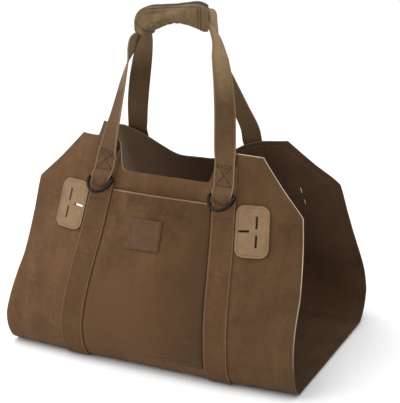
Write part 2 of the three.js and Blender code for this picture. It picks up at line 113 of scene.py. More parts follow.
def smooth_line(points, parts):
    """Points of the smooth line through the given ones, at parts of the way along it."""
    points = np.asarray(points, float)
    ends = [[2 * points[0] - points[1]], points, [2 * points[-1] - points[-2]]]
    run = np.concatenate(ends)
    way = np.asarray(parts) * (len(points) - 1)
    first = np.minimum(way.astype(int), len(points) - 2)
    t = (way - first)[:, None]
    a, b, c, d = (run[first + k] for k in range(4))
    ab, bc, cd = (np.sqrt(np.linalg.norm(q - p, axis=1, keepdims=True)) for p, q in ((a, b), (b, c), (c, d)))
    bc = np.where(bc < NO_STEP, 1, bc)
    ab = np.where(ab < NO_STEP, bc, ab)
    cd = np.where(cd < NO_STEP, bc, cd)
    leave = ((b - a) / ab - (c - a) / (ab + bc) + (c - b) / bc) * bc
    arrive = ((c - b) / bc - (d - b) / (bc + cd) + (d - c) / cd) * bc
    return b + t * (leave + t * ((3 * (c - b) - 2 * leave - arrive) + t * (2 * (b - c) + leave + arrive)))


def way_along(points):
    """How far along a line of points each of them lies."""
    return np.concatenate([[0], np.cumsum(np.linalg.norm(np.diff(points, axis=0), axis=1))])


FOLD_PARTS = np.linspace(0, 1, 2001)


def fold_line(front, back):
    """A fold of the sheet, from the front top edge under the base to the back top edge, as y and z."""
    front_wall = np.stack([-LEVELS[:, front], LEVELS[:, LEVEL_HEIGHT]], 1)[::-1]
    back_wall = np.stack([LEVELS[:, back], LEVELS[:, LEVEL_HEIGHT]], 1)
    return smooth_line(np.concatenate([front_wall, [(0, BASE_HEIGHT)], back_wall]), FOLD_PARTS)


middle_fold = fold_line(FRONT_MID, BACK_MID)
end_fold = fold_line(FRONT_END, BACK_END)
fold_way = way_along(middle_fold)
FRONT_LENGTH = fold_way[len(fold_way) // 2]
BACK_LENGTH = fold_way[-1] - FRONT_LENGTH
fold_way -= FRONT_LENGTH
fold_level = np.abs(2 * FOLD_PARTS - 1) * len(LEVELS) - 1
fold_half = np.interp(fold_level, range(len(LEVELS)), LEVELS[:, HALF])
flare_part = np.maximum(1 - (len(LEVELS) - 1 - fold_level) / FLARE_LEVELS, 0)
fold_half += (FOLD_PARTS > 0.5) * BACK_FLARE * flare_part
edge_lines = [smooth_line(TOP_EDGE[:, (0, wall)], FOLD_PARTS) for wall in (1, 2)]


def by_wall(s, front, back):
    return np.where(np.asarray(s) < 0, front, back)


def wall_length(s):
    return by_wall(s, FRONT_LENGTH, BACK_LENGTH)


def below(wall, drop):
    """Distance along the cloth, from the middle of the base, of a place this far below a wall's top edge."""
    return wall * (wall_length(wall) - drop)


def half_width(s):
    return np.interp(s, fold_way, fold_half)


def top_drop(x, s):
    """How far below its last level the wall at s ends, at x from the middle."""
    front, back = (np.interp(np.abs(x - DIP_X), line[:, 0], line[:, 1]) for line in edge_lines)
    return by_wall(s, front, back + EAR_SAG * smoothstep(-x, *EAR_X))


def face(x, s):
    """Points of the panel's outer face, at x from its middle and s along the cloth."""
    middle_y, middle_z, end_y, end_z = (
        np.interp(s, fold_way, line[:, k]) for line in (middle_fold, end_fold) for k in (0, 1)
    )
    spread = np.maximum((np.abs(x) - STRAIGHT_HALF) / (half_width(s) - STRAIGHT_HALF), 0) ** END_CURVE
    y = middle_y + (end_y - middle_y) * spread
    z = middle_z + (end_z - middle_z) * spread
    return np.stack(np.broadcast_arrays(x, y, np.maximum(z, BASE_HEIGHT)), -1)


# Sways of the standing walls: height, length across and along the cloth, and where the wave starts
SWAYS = [(1.2, 52, 83, 0), (0.8, 33, -57, 1.7), (0.4, 17, 41, 0)]
SWAY_RISE = 130, 260
# The rings' places from the middle and below the top edge, each with how far it keeps the cloth calm
CALM_X, CALM_DROP = (95, 38), (67, 42)
END_SWAY, END_SWAY_X, END_SWAY_LENGTH = 1.6, (150, 215), 34


def waves(x, s):
    """How far the standing cloth sways out of its even shape: calm on the base and round the rings."""
    drop = wall_length(s) - np.abs(s)
    rise = smoothstep(np.abs(s), *SWAY_RISE)
    calm = 1 - hump(np.abs(x), *CALM_X) * hump(drop, *CALM_DROP)
    sway = sum(height * np.sin(x / across + s / along + start) for height, across, along, start in SWAYS)
    edge = END_SWAY * smoothstep(np.abs(x), *END_SWAY_X) * np.sin(s / END_SWAY_LENGTH + np.sign(x))
    return rise * calm * (sway + edge)


# Half of the step over which the slope of the face is measured
HALF_STEP = 0.5


def place(x, s, height):
    """Points at a height over the panel's outer face, square to it."""
    x, s, height = np.broadcast_arrays(np.asarray(x, float), s, height)
    along = face(x, s + HALF_STEP) - face(x, s - HALF_STEP)
    across = face(x + HALF_STEP, s) - face(x - HALF_STEP, s)
    return face(x, s) + unit(np.cross(along, across)) * (height + waves(x, s))[..., None]


# Faces this far round a slot are cut along its sides
SLOT_ROOM = 6


def cut_slot(flat, middle, along, across, size):
    """A slot through a flat cut: its middle, the ways of its two sides, and its size each way."""
    ways = [Vector((*way, 0)).normalized() for way in (along, across)]
    middle = Vector((*middle, 0))

    def faces_within(room):
        """Faces with their middles in the slot, or no further from it than this."""
        for part in flat.faces:
            off = part.calc_center_median() - middle
            if all(abs(off.dot(way)) < length / 2 + room for way, length in zip(ways, size)):
                yield part

    for way, length in zip(ways, size):
        for side in (-1, 1):
            near = list(faces_within(SLOT_ROOM))
            geom = [*near, *(e for f in near for e in f.edges), *(v for f in near for v in f.verts)]
            edge = middle + side * length / 2 * way
            bmesh.ops.bisect_plane(
                flat, geom=list(dict.fromkeys(geom)), dist=1e-3, plane_co=edge, plane_no=way)
    bmesh.ops.delete(flat, geom=list(faces_within(0)), context="FACES")


def cut_cloth(name, columns, rows, spot, lay, pattern, slots=(), paint=None):
    """A flat cut of cloth or leather, laid where it belongs. spot gives the cut's sizes for the parts across
    and along the grid, lay its place, pattern the sizes that its weave and wear follow, and paint a face's
    material."""
    flat = bmesh.new()
    bmesh.ops.create_grid(flat, x_segments=columns, y_segments=rows, size=1)
    if paint:
        for part in flat.faces:
            part.material_index = paint(*part.calc_center_median().xy)
    parts = np.array([v.co for v in flat.verts])
    for vert, x, s in zip(flat.verts, *spot(parts[:, 0], parts[:, 1])):
        vert.co = x, s, 0
    for slot in slots:
        cut_slot(flat, *slot)
    spots = np.array([v.co for v in flat.verts])
    uvs = np.stack(pattern(spots[:, 0], spots[:, 1]), -1) * MM
    points = lay(spots[:, 0], spots[:, 1]) * MM
    flat.verts.index_update()
    weave = flat.loops.layers.uv.new("cut")
    for part in flat.faces:
        part.smooth = True
        for loop in part.loops:
            loop[weave].uv = uvs[loop.vert.index]
    for vert, point in zip(flat.verts, points):
        vert.co = point
    bmesh.ops.reverse_faces(flat, faces=flat.faces)
    return as_piece(name, flat)


def as_piece(name, bm):
    mesh = bpy.data.meshes.new(name)
    bm.to_mesh(mesh)
    bm.free()
    return add_object(name, mesh)


def add_object(name, data):
    added = bpy.data.objects.new(name, data)
    bpy.context.scene.collection.objects.link(added)
    return added


# Places of a piece's materials
OUTSIDE, INSIDE, RIM = 0, 1, 2


def finish_cut(piece, materials, thick, rounding, rim=OUTSIDE, inside=OUTSIDE):
    """Gives a laid cut its materials, its thickness inwards and round edges."""
    for material in materials:
        piece.data.materials.append(material)
    solid = piece.modifiers.new("thickness", "SOLIDIFY")
    solid.thickness = thick * MM
    solid.offset = -1
    solid.use_even_offset = True
    solid.material_offset_rim = rim
    solid.material_offset = inside
    edge = piece.modifiers.new("edge", "BEVEL")
    edge.width = rounding * MM
    edge.material = rim or -1
    edge.segments = 2
    edge.limit_method = "ANGLE"
    edge.angle_limit = math.radians(50)
    edge.harden_normals = True


def linear(colour):
    """Linear colour of an sRGB hex value."""
    parts = [int(colour[k:k + 2], 16) / 255 for k in (1, 3, 5)]
    return [p / 12.92 if p < 0.04045 else ((p + 0.055) / 1.055) ** 2.4 for p in parts] + [1]


def node(material, kind, sockets=(), stops=(), **settings):
    """Adds a node with its settings, and sets or links its sockets."""
    made = material.node_tree.nodes.new("ShaderNode" + kind)
    for name, value in settings.items():
        setattr(made, name, value)
    for stop, (position, colour) in enumerate(stops):
        element = made.color_ramp.elements[stop] if stop < 2 else made.color_ramp.elements.new(position)
        element.position = position
        element.color = colour
    for name, value in dict(sockets).items():
        if isinstance(value, bpy.types.NodeSocket):
            material.node_tree.links.new(value, made.inputs[name])
        else:
            made.inputs[name].default_value = value
    return made.outputs


def shader(name, **sockets):
    """A new material with its shader's constant sockets."""
    material = bpy.data.materials.new(name)
    material.use_nodes = True
    for socket, value in sockets.items():
        material.node_tree.nodes["Principled BSDF"].inputs[socket.replace("_", " ")].default_value = value
    return material


def join(material, **sockets):
    """Links outputs to the material's shader."""
    bsdf = material.node_tree.nodes["Principled BSDF"]
    for socket, output in sockets.items():
        material.node_tree.links.new(output, bsdf.inputs[socket.replace("_", " ")])


# Waxed cotton canvas: tight plain weave under a dull wax finish. The eye sees a soft brown with a fine
# uneven grain, which goes lighter where the wax is rubbed, in scuffs and in streaks along the cloth, and
# hardly any shine. The threads are 0.6 mm apart, and are drawn at 1.6 mm so that they show.
THREAD_SPACING = 1.6
CLOUD_SIZE, SCUFF_SIZE, GRAIN_SIZE = 60, 10, 2.6
STREAK_WIDTH, STREAK_LENGTH = 24, 90
# A wave texture of scale 1 repeats after this length
WAVE_SPAN = math.pi / 10


def waxed_canvas(name, deep, fair, rubbed, across=None, along=None):
    """Canvas in its deep and fair tones and where it is rubbed. Across its width and along its length it may
    take on another colour, given after the distances where that starts and ends."""
    cloth = shader(name, Sheen_Weight=0.02, Sheen_Roughness=0.5, Specular_IOR_Level=0.2)
    cut = node(cloth, "UVMap", uv_map="cut")["UV"]
    uneven = {"Vector": cut, "Detail": 4, "Roughness": 0.66}
    cloud, scuff, grain = (
        node(cloth, "TexNoise", {**uneven, "Scale": 1 / (size * MM)})["Fac"]
        for size in (CLOUD_SIZE, SCUFF_SIZE, GRAIN_SIZE)
    )
    drawn_out = (1 / (STREAK_WIDTH * MM), 1 / (STREAK_LENGTH * MM), 1)
    long_cut = node(cloth, "Mapping", {"Vector": cut, "Scale": drawn_out})["Vector"]
    streak = node(cloth, "TexNoise", {"Vector": long_cut, "Scale": 1, "Detail": 3})["Fac"]
    rub = node(cloth, "Math", {0: scuff, 1: streak}, operation="ADD")["Value"]
    tone = node(cloth, "ValToRGB", {"Fac": cloud}, [(0.34, linear(deep)), (0.66, linear(fair))])["Color"]
    wearing = {"Value": rub, "From Min": 0.95, "From Max": 1.4, "To Max": 0.6}
    worn = node(cloth, "MapRange", wearing)["Result"]
    # A colour mix has its share in socket 0, its colours in 6 and 7, and its result in output 2
    colour = node(cloth, "Mix", {0: worn, 6: tone, 7: linear(rubbed)}, data_type="RGBA")[2]
    axes = node(cloth, "SeparateXYZ", {"Vector": cut})
    for axis, change in (("Y", along), ("X", across)):
        if change:
            start, end, taken = change
            far = node(cloth, "Math", {0: axes[axis]}, operation="ABSOLUTE")["Value"]
            reach = {"Value": far, "From Min": start * MM, "From Max": end * MM}
            near = node(cloth, "MapRange", reach)["Result"]
            broken = node(cloth, "Math", {0: near, 1: rub}, operation="MULTIPLY", use_clamp=True)["Value"]
            colour = node(cloth, "Mix", {0: broken, 6: colour, 7: linear(taken)}, data_type="RGBA")[2]
    speckling = {"Value": grain, "From Min": 0.3, "From Max": 0.7, "To Min": 0.9, "To Max": 1.1}
    speck = node(cloth, "MapRange", speckling)["Result"]
    colour = node(cloth, "Mix", {0: 1, 6: colour, 7: speck}, data_type="RGBA", blend_type="MULTIPLY")[2]
    yarn = {"Vector": cut, "Scale": WAVE_SPAN / (THREAD_SPACING * MM), "Distortion": 0.4}
    warp, weft = (node(cloth, "TexWave", yarn, bands_direction=way)["Fac"] for way in "XY")
    weave = node(cloth, "Math", {0: warp, 1: weft}, operation="MAXIMUM")["Value"]
    woven = node(cloth, "Bump", {"Height": weave, "Strength": 0.25, "Distance": 0.25 * MM})["Normal"]
    scuffing = {"Height": scuff, "Strength": 0.2, "Distance": 1 * MM, "Normal": woven}
    scuffed = node(cloth, "Bump", scuffing)["Normal"]
    rough = node(cloth, "MapRange", {"Value": scuff, "To Min": 0.68, "To Max": 0.92})["Result"]
    join(cloth, Base_Color=colour, Roughness=rough, Normal=scuffed)
    return cloth


# The panel's widths run from its left end, and its lengths from the front wall's top edge. The dark tone to
# the right would be full only far outside the sheet, so that it stays faint.
canvas = waxed_canvas(
    "waxed cotton canvas, brown", "#4d351e", "#5c4026", "#6f5033",
    across=(SHEET_HALF + 5, 5 * SHEET_HALF, "#20150a"),
)
# The inner side is darker than the outer one, which paints the shade inside the bag. Towards the left end it
# turns lighter, a painted pool of light on the back wall's inner face.
canvas_inside_shade_and_light = waxed_canvas(
    "waxed cotton canvas, inner side, painted shade and light", "#3f2a18", "#49321f", "#543b26",
    across=(SHEET_HALF + 10, SHEET_HALF - 75, "#5e452e"),
)
raw_edge = waxed_canvas(
    "raw canvas edge, rubbed pale", "#9c8772", "#b8a48c", "#c9b7a2",
    along=(150, 310, "#523f2a"),
)

# The straps' width, their distance from the middle under the base, how far along the cloth they begin to
# come closer, and their distance from the middle at the top edges
STRAP_WIDTH = 34
STRAP_BASE_X, STRAP_BEND_START = 112, 200
STRAP_TOP = {(FRONT, LEFT): 85.5, (FRONT, RIGHT): 90.5, (BACK, LEFT): 85.5, (BACK, RIGHT): 93.5}


def strap_x(side, s):
    """Middle line of a sewn strap on the sheet."""
    top = by_wall(s, STRAP_TOP[FRONT, side], STRAP_TOP[BACK, side])
    part = np.clip((np.abs(s) - STRAP_BEND_START) / (wall_length(s) - STRAP_BEND_START), 0, 1)
    return side * (STRAP_BASE_X + (top - STRAP_BASE_X) * part)


PATCH_WIDTH, PATCH_LENGTH, PATCH_CORNER = 46, 72, 13
PATCH_CLEAR = {FRONT: 1.5, BACK: 5.5}
PATCH_DROP = {FRONT: 104, BACK: 115}
# Slots of a patch from its middle: outwards, down the cloth, and the slot's length across and along. Those
# of the front wall are pulled open, and those of the back wall have closed up.
SLOTS = [(5.5, -13, 0, 14.4), (5.5, 13, 0, 14.4), (-11.5, 0, 12, 0)]
SLOT_WIDTH = {FRONT: 3.2, BACK: 1.5}
CORNERS = [(wall, side) for wall in (FRONT, BACK) for side in (LEFT, RIGHT)]
CORNER_NAME = {(wall, side): f"{'front' if wall == FRONT else 'back'}_{'left' if side == LEFT else 'right'}"
               for wall, side in CORNERS}


def patch_x(side, s):
    clear = by_wall(s, PATCH_CLEAR[FRONT], PATCH_CLEAR[BACK])
    return strap_x(side, s) + side * (STRAP_WIDTH / 2 + clear + PATCH_WIDTH / 2)


def lash_slots(wall, side):
    """The slots of one patch, which go through the leather and the panel."""
    middle_s = below(wall, PATCH_DROP[wall])
    lean = patch_x(side, middle_s + 1) - patch_x(side, middle_s)
    for out, down, across, along in SLOTS:
        s = below(wall, PATCH_DROP[wall] + down)
        size = along + SLOT_WIDTH[wall], across + SLOT_WIDTH[wall]
        yield (patch_x(side, s) + side * out, s), (lean, 1), (1, -lean), size


# The front wall's edges are worn pale round the right top corner, in a narrow strip with a row of faces of
# its own: up the end from one part of the grid, and out along the top from another
EDGE_STRIP = 1.2
STRIP_END, STRIP_TOP = -0.4, 0.7
PANEL_COLUMNS, PANEL_ROWS = 112, 240


def strip_parts(parts, count, size):
    """Grid parts that leave the outermost faces as wide as the worn strip."""
    inner = parts / (1 - 2 / count) * (1 - EDGE_STRIP / size)
    return np.where(np.abs(parts) > 1 - 1 / count, parts, inner)


def panel_paint(across, along):
    worn_end = across > 1 - 2 / PANEL_COLUMNS and along < STRIP_END
    worn_top = along < 2 / PANEL_ROWS - 1 and across > STRIP_TOP
    return RIM if worn_end or worn_top else OUTSIDE


def pulled_up(x, s):
    """The place along the cloth once the front wall's left end is pulled up a little."""
    return s - LEFT_PULL * smoothstep(-x, *PULL_X) * smoothstep(-s, *PULL_RISE)


def panel_spot(across, along):
    along = strip_parts(along, PANEL_ROWS, wall_length(along))
    s = along * wall_length(along)
    x = strip_parts(across, PANEL_COLUMNS, half_width(s)) * half_width(s)
    drop = wall_length(s) - np.abs(s)
    return x, pulled_up(x, s - np.sign(s) * top_drop(x, s) * np.maximum(1 - drop / EDGE_REACH, 0))


panel = cut_cloth(
    "canvas_panel", PANEL_COLUMNS, PANEL_ROWS, panel_spot, lambda x, s: place(x, s, 0),
    pattern=lambda x, s: (SHEET_HALF + x, FRONT_LENGTH + s),
    slots=[slot for corner in CORNERS for slot in lash_slots(*corner)],
    paint=panel_paint,
)
finish_cut(panel, [canvas, canvas_inside_shade_and_light, raw_edge], PANEL_THICK, rounding=0.8, rim=RIM, inside=INSIDE)
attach(panel, "bag")
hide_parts("body_panel")
SHEET_AREA = np.sum((fold_half[1:] + fold_half[:-1]) * np.diff(fold_way)) * MM * MM

# Stitching of the panel
# Waxed polyester thread in a lock stitch, just inside the raw edges all round, seen on both faces.
STITCH_PITCH = 4.5
STITCH_LENGTH = 3.4
THREAD, HEAVY_THREAD = 0.9, 1.3
# A stitch is flatter than its thread is wide
STITCH_FLAT = 0.8


def sew(name, seams, material, thick=THREAD):
    """Rows of stitches as one piece. A seam is its points and the points 1 mm over them."""
    bead = bmesh.new()
    bmesh.ops.create_uvsphere(bead, u_segments=6, v_segments=4, radius=0.5)
    bead.verts.index_update()
    shape = np.array([v.co for v in bead.verts])
    faces = [[v.index for v in f.verts] for f in bead.faces]
    bead.free()
    verts, polygons = [], []
    for points, over in seams:
        run = way_along(points)
        count = max(int(run[-1] / STITCH_PITCH), 1)
        for middle in (np.arange(count) + 0.5) * run[-1] / count:
            spots = [middle - 1, middle, middle + 1]
            before, here, after = np.stack([np.interp(spots, run, points[:, k]) for k in range(3)], -1)
            up = np.array([np.interp(middle, run, over[:, k]) for k in range(3)]) - here
            way = unit(after - before)
            side = np.cross(up, way)
            axes = np.array([side * thick, up * thick * STITCH_FLAT, way * STITCH_LENGTH])
            polygons += [[corner + len(verts) * len(shape) for corner in f] for f in faces]
            verts.append(here + shape @ axes)
    mesh = bpy.data.meshes.new(name)
    mesh.from_pydata(np.concatenate(verts) * MM, [], polygons)
    mesh.shade_smooth()
    mesh.materials.append(material)
    piece = add_object(name, mesh)
    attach(piece, "bag")
    return piece


def laid_seam(x, s, height, outer=1):
    """A seam on cloth that lies on the panel, at a height over it, seen from its outer or inner side."""
    return place(x, s, height), place(x, s, height + outer)


TWISTS_PER_MM = 0.7


def sewing_thread(name, deep, fair):
    """Waxed polyester thread: twisted and slightly glossy, so that each stitch shows as a small bead."""
    strand = shader(name, Specular_IOR_Level=0.3)
    twisting = {"Vector": node(strand, "TexCoord")["Object"], "Scale": TWISTS_PER_MM / MM, "Detail": 2}
    twist = node(strand, "TexNoise", twisting)["Fac"]
    colour = node(strand, "ValToRGB", {"Fac": twist}, [(0.3, linear(deep)), (0.7, linear(fair))])["Color"]
    rough = node(strand, "MapRange", {"Value": twist, "To Min": 0.5, "To Max": 0.8})["Result"]
    join(strand, Base_Color=colour, Roughness=rough)
    return strand


thread = sewing_thread("waxed polyester thread, tan", "#5a432b", "#6d543a")
# This thread is painted dark: painted shade for the stitches that sink into the cloth in the cross seams,
# the boxed crosses and the grip.
shade_painted_thread = sewing_thread("waxed polyester thread, painted dark for shade", "#2a1c12", "#3b2a1c")

# Distance of the seams from the top edges and from the ends. A seam lies a little over its cloth, and stops
# short of the cloth's end.
TOP_INSET = {FRONT: 4, BACK: 8}
END_INSET = {wall: 1.6 * inset for wall, inset in TOP_INSET.items()}
STITCH_RISE = 0.2
SEAM_STOP = 4
EDGE_STEPS = 240
edge_seams = []
for wall in (FRONT, BACK):
    up = wall * np.linspace(0, wall_length(wall) - TOP_INSET[wall] - SEAM_STOP, EDGE_STEPS)
    top_half = half_width(up[-1]) - END_INSET[wall]
    top_x = np.linspace(-top_half, top_half, EDGE_STEPS)
    top_s = below(wall, TOP_INSET[wall] + top_drop(top_x, wall))
    for outer, height in ((1, STITCH_RISE), (-1, -PANEL_THICK - STITCH_RISE)):
        for side in (LEFT, RIGHT):
            x = side * (half_width(up) - END_INSET[wall])
            edge_seams.append(laid_seam(x, pulled_up(x, up), height, outer))
        edge_seams.append(laid_seam(top_x, top_s, height, outer))
sew("panel_stitching", edge_seams, thread)

# Sewn straps
# Canvas folded to a 34 mm strap, 2 mm thick, that runs up the front wall, under the base and up the back
# wall. Each is sewn down along both edges, with cross seams where it takes the load.
SEAT_GAP = 0.4
STRAP_THICK = 2.0
STRAP_END_DROP = {FRONT: 15, BACK: 24}
STRAP_TOP_FACE = SEAT_GAP + STRAP_THICK
STRAP_COLUMNS, STRAP_ROWS = 12, 240
STRAP_SEAM = STRAP_WIDTH / 2 - 3
STRAP_STEPS, CROSS_STEPS = 300, 12
CROSS_SEAMS = [90, 133, 170]

# The strap's edges are paler: partly wear on the folded edges, partly a painted highlight along them.
strap_canvas = waxed_canvas(
    "waxed canvas strap, brown", "#4b331d", "#553a20", "#65482b",
    across=(STRAP_WIDTH / 2 - 2.4, STRAP_WIDTH / 2 - 0.4, "#6c523a"),
)
strap_seams, cross_seams = [], []
for side, side_name in ((LEFT, "left"), (RIGHT, "right")):

    def strap_spot(across, along):
        start, end = (below(wall, STRAP_END_DROP[wall]) for wall in (FRONT, BACK))
        s = start + (end - start) * (along + 1) / 2
        return strap_x(side, s) + across * STRAP_WIDTH / 2, s

    strap = cut_cloth(
        f"sewn_strap_{side_name}", STRAP_COLUMNS, STRAP_ROWS, strap_spot,
        lambda x, s: place(x, s, STRAP_TOP_FACE),
        pattern=lambda x, s: (x - strap_x(side, s), s),
    )
    finish_cut(strap, [strap_canvas], STRAP_THICK, rounding=0.7)
    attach(strap, "bag")
    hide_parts(f"strap_{side_name}")
    ends = (below(wall, STRAP_END_DROP[wall] + SEAM_STOP) for wall in (FRONT, BACK))
    run = np.linspace(*ends, STRAP_STEPS)
    for edge in (-STRAP_SEAM, STRAP_SEAM):
        strap_seams.append(laid_seam(strap_x(side, run) + edge, run, STRAP_TOP_FACE + STITCH_RISE))
    for wall in (FRONT, BACK):
        for drop in CROSS_SEAMS:
            s = below(wall, drop)
            across = strap_x(side, s) + np.linspace(-STRAP_SEAM, STRAP_SEAM, CROSS_STEPS)
            cross_seams.append(laid_seam(across, np.full(CROSS_STEPS, s), STRAP_TOP_FACE + STITCH_RISE / 2))
sew("strap_stitching", strap_seams, thread)
sew("cross_stitching", cross_seams, shade_painted_thread)

# Pocket
# Canvas pocket on the front wall between the straps, open at the top, where a turned hem stiffens its edge.
# Its sides reach to the straps, and two rows of stitches hold its folded bottom edge.
POCKET_THICK = 1.8
POCKET_TOP_DROP, POCKET_BOTTOM_DROP = 72, 305
POCKET_TOP, POCKET_BOTTOM = below(FRONT, POCKET_TOP_DROP), below(FRONT, POCKET_BOTTOM_DROP)
POCKET_MOUTH = 14
POCKET_CLEAR = 2
# Width of the hem, its step and where that fades, and how far the sides are tucked in and the bottom is
# rolled, each over its width
HEM, HEM_STEP, HEM_FADE = 22, 0.7, (-1, 3)
TUCK, TUCK_WIDTH = 1.2, 5
ROLL, ROLL_WIDTH = 0.9, 4
POCKET_COLUMNS, POCKET_ROWS = 64, 84
# The first row of faces is the fold of the hem, which is rubbed pale and carries a painted highlight
HEM_FOLD = 1
HEM_FOLD_PART = 2 / POCKET_ROWS - 1


def pocket_sides(s):
    clear = STRAP_WIDTH / 2 + POCKET_CLEAR
    return strap_x(LEFT, s) + clear, strap_x(RIGHT, s) - clear


def pocket_height(x, s):
    """Height of the pocket's inner side: sewn flat at its sides and bottom, standing open at the mouth."""
    left, right = pocket_sides(s)
    rise = np.clip((s - POCKET_BOTTOM) / (POCKET_TOP - POCKET_BOTTOM), 0, 1)
    across = (2 * x - left - right) / (right - left)
    return SEAT_GAP + POCKET_MOUTH * np.maximum(1 - across ** 2, 0) ** 2 * np.sin(rise * math.pi / 2)


def pocket_face(x, s):
    """Outer side of the pocket: thicker over its hem, pulled in along its seams."""
    left, right = pocket_sides(s)
    side = np.minimum(x - left, right - x)
    drop = FRONT_LENGTH + s
    hem = HEM_STEP * (1 - smoothstep(drop, *(POCKET_TOP_DROP + HEM + fade for fade in HEM_FADE)))
    tuck = -TUCK * (1 - smoothstep(side, 0, TUCK_WIDTH))
    roll = -ROLL * (1 - smoothstep(POCKET_BOTTOM_DROP - drop, 0, ROLL_WIDTH))
    return pocket_height(x, s) + POCKET_THICK + hem + tuck + roll


def pocket_spot(across, along):
    s = POCKET_TOP + (POCKET_BOTTOM - POCKET_TOP) * (along + 1) / 2
    left, right = pocket_sides(s)
    return (left + right) / 2 + across * (right - left) / 2, s


pocket = cut_cloth(
    "canvas_pocket", POCKET_COLUMNS, POCKET_ROWS, pocket_spot,
    lambda x, s: place(x, s, pocket_face(x, s)),
    pattern=lambda x, s: (x - pocket_sides(s)[0], s),
    paint=lambda across, along: HEM_FOLD if along < HEM_FOLD_PART else OUTSIDE,
)
# The pocket is painted darker towards its right side, a painted shade on the side turned from the light. It
# is lighter lower down, so that its upper part under the hem carries painted shade.
pocket_canvas = waxed_canvas(
    "waxed cotton canvas, pocket", "#412b15", "#593e22", "#6e4e30",
    across=(95, 185, "#3f2c17"), along=(FRONT_LENGTH - 110, FRONT_LENGTH - 240, "#563b22"),
)
# The hem's fold is paler partly from rubbing and partly as a painted highlight along the pocket's top edge.
fold_rubbed_and_lit = waxed_canvas("canvas fold, rubbed pale with painted highlight", "#6a543c", "#7d664b", "#8f785c")
# The pocket's cut edges are painted near black: painted shade in the narrow gaps where the pocket meets the
# straps.
pocket_rim_shade = waxed_canvas("pocket rim, painted shade", "#24180d", "#2b1d11", "#352517")
finish_cut(pocket, [pocket_canvas, fold_rubbed_and_lit, pocket_rim_shade], POCKET_THICK, rounding=0.6, rim=RIM)
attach(pocket, "bag")
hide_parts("pocket")
# Seams below the mouth: the hem's, and the two rows over the bottom edge, which stop short of the sides
POCKET_SEAMS = [POCKET_TOP_DROP + HEM, POCKET_BOTTOM_DROP - 5, POCKET_BOTTOM_DROP - 12]
POCKET_STOP, POCKET_STEPS = 2, 60
pocket_seams = []
for drop in POCKET_SEAMS:
    run = np.full(POCKET_STEPS, below(FRONT, drop))
    left, right = pocket_sides(run[0])
    x = np.linspace(left + POCKET_STOP, right - POCKET_STOP, POCKET_STEPS)
    pocket_seams.append(laid_seam(x, run, pocket_face(x, run) + STITCH_RISE))
sew("pocket_stitching", pocket_seams, thread)

# Label
# Small square of red-brown leather on the pocket, left bare, with a raised line pressed round its border.
LABEL_WIDTH, LABEL_LENGTH, LABEL_CORNER = 51, 45, 3
LABEL_X, LABEL_DROP = -9.5, 130
LABEL_THICK = 1.2
# The pressed line's distance from the edge, height and width
LINE_INSET, LINE_HEIGHT, LINE_WIDTH = 3.2, 0.8, 0.8
LABEL_GRID = 44
HIDE_CLOUD = 14


def rounded_spot(across, along, width, length, corner):
    """Sizes across and down of a rounded rectangle's grid, with close rows at its round corners."""
    down = length / 2 * np.sin(along * math.pi / 2)
    past = np.maximum(np.abs(down) - (length / 2 - corner), 0)
    return across * (width / 2 - corner + np.sqrt(np.maximum(corner ** 2 - past ** 2, 0))), down


def leather(name, deep, fair, burnt, burnt_width, size, grain_size):
    """Vegetable tanned leather: matt, with a pebbled grain of pits and a burnished edge."""
    hide = shader(name, Specular_IOR_Level=0.25)
    cut = node(hide, "UVMap", uv_map="cut")["UV"]
    uneven = {"Vector": cut, "Scale": 1 / (HIDE_CLOUD * MM), "Detail": 5, "Roughness": 0.65}
    cloud = node(hide, "TexNoise", uneven)["Fac"]
    tone = node(hide, "ValToRGB", {"Fac": cloud}, [(0.35, linear(deep)), (0.68, linear(fair))])["Color"]
    axes = node(hide, "SeparateXYZ", {"Vector": cut})
    insets = []
    for axis, length in zip("XY", size):
        far = node(hide, "Math", {0: axes[axis]}, operation="ABSOLUTE")["Value"]
        insets.append(node(hide, "Math", {0: length / 2 * MM, 1: far}, operation="SUBTRACT")["Value"])
    inset = node(hide, "Math", dict(enumerate(insets)), operation="MINIMUM")["Value"]
    burning = {"Value": inset, "From Max": burnt_width * MM, "To Min": 0.8, "To Max": 0}
    rim = node(hide, "MapRange", burning)["Result"]
    colour = node(hide, "Mix", {0: rim, 6: tone, 7: linear(burnt)}, data_type="RGBA")[2]
    pebbles = {"Vector": cut, "Scale": 1 / (grain_size * MM)}
    grain = node(hide, "TexVoronoi", pebbles, feature="DISTANCE_TO_EDGE")["Distance"]
    pits = node(hide, "Bump", {"Height": grain, "Strength": 0.3, "Distance": 0.4 * MM})["Normal"]
    rough = node(hide, "MapRange", {"Value": cloud, "To Min": 0.5, "To Max": 0.75})["Result"]
    join(hide, Base_Color=colour, Roughness=rough, Normal=pits)
    return hide


def label_spot(across, along):
    out, down = rounded_spot(across, along, LABEL_WIDTH, LABEL_LENGTH, LABEL_CORNER)
    return LABEL_X + out, below(FRONT, LABEL_DROP + down)


def label_place(x, s):
    """Sizes across and down from the label's middle."""
    return x - LABEL_X, FRONT_LENGTH + s - LABEL_DROP


def label_face(x, s):
    out, down = label_place(x, s)
    inset = np.minimum(LABEL_WIDTH / 2 - np.abs(out), LABEL_LENGTH / 2 - np.abs(down))
    line = LINE_HEIGHT * hump(inset, LINE_INSET, LINE_WIDTH)
    return pocket_face(x, s) + SEAT_GAP + LABEL_THICK + line


label = cut_cloth(
    "leather_label", LABEL_GRID, LABEL_GRID, label_spot, lambda x, s: place(x, s, label_face(x, s)),
    pattern=label_place,
)
red_leather = leather(
    "vegetable tanned leather, red brown", "#49301c", "#573a22", "#352214",
    burnt_width=1.4, size=(LABEL_WIDTH, LABEL_LENGTH), grain_size=1.4,
)
finish_cut(label, [red_leather], LABEL_THICK, rounding=0.35)
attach(label, "bag")
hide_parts("label_patch")

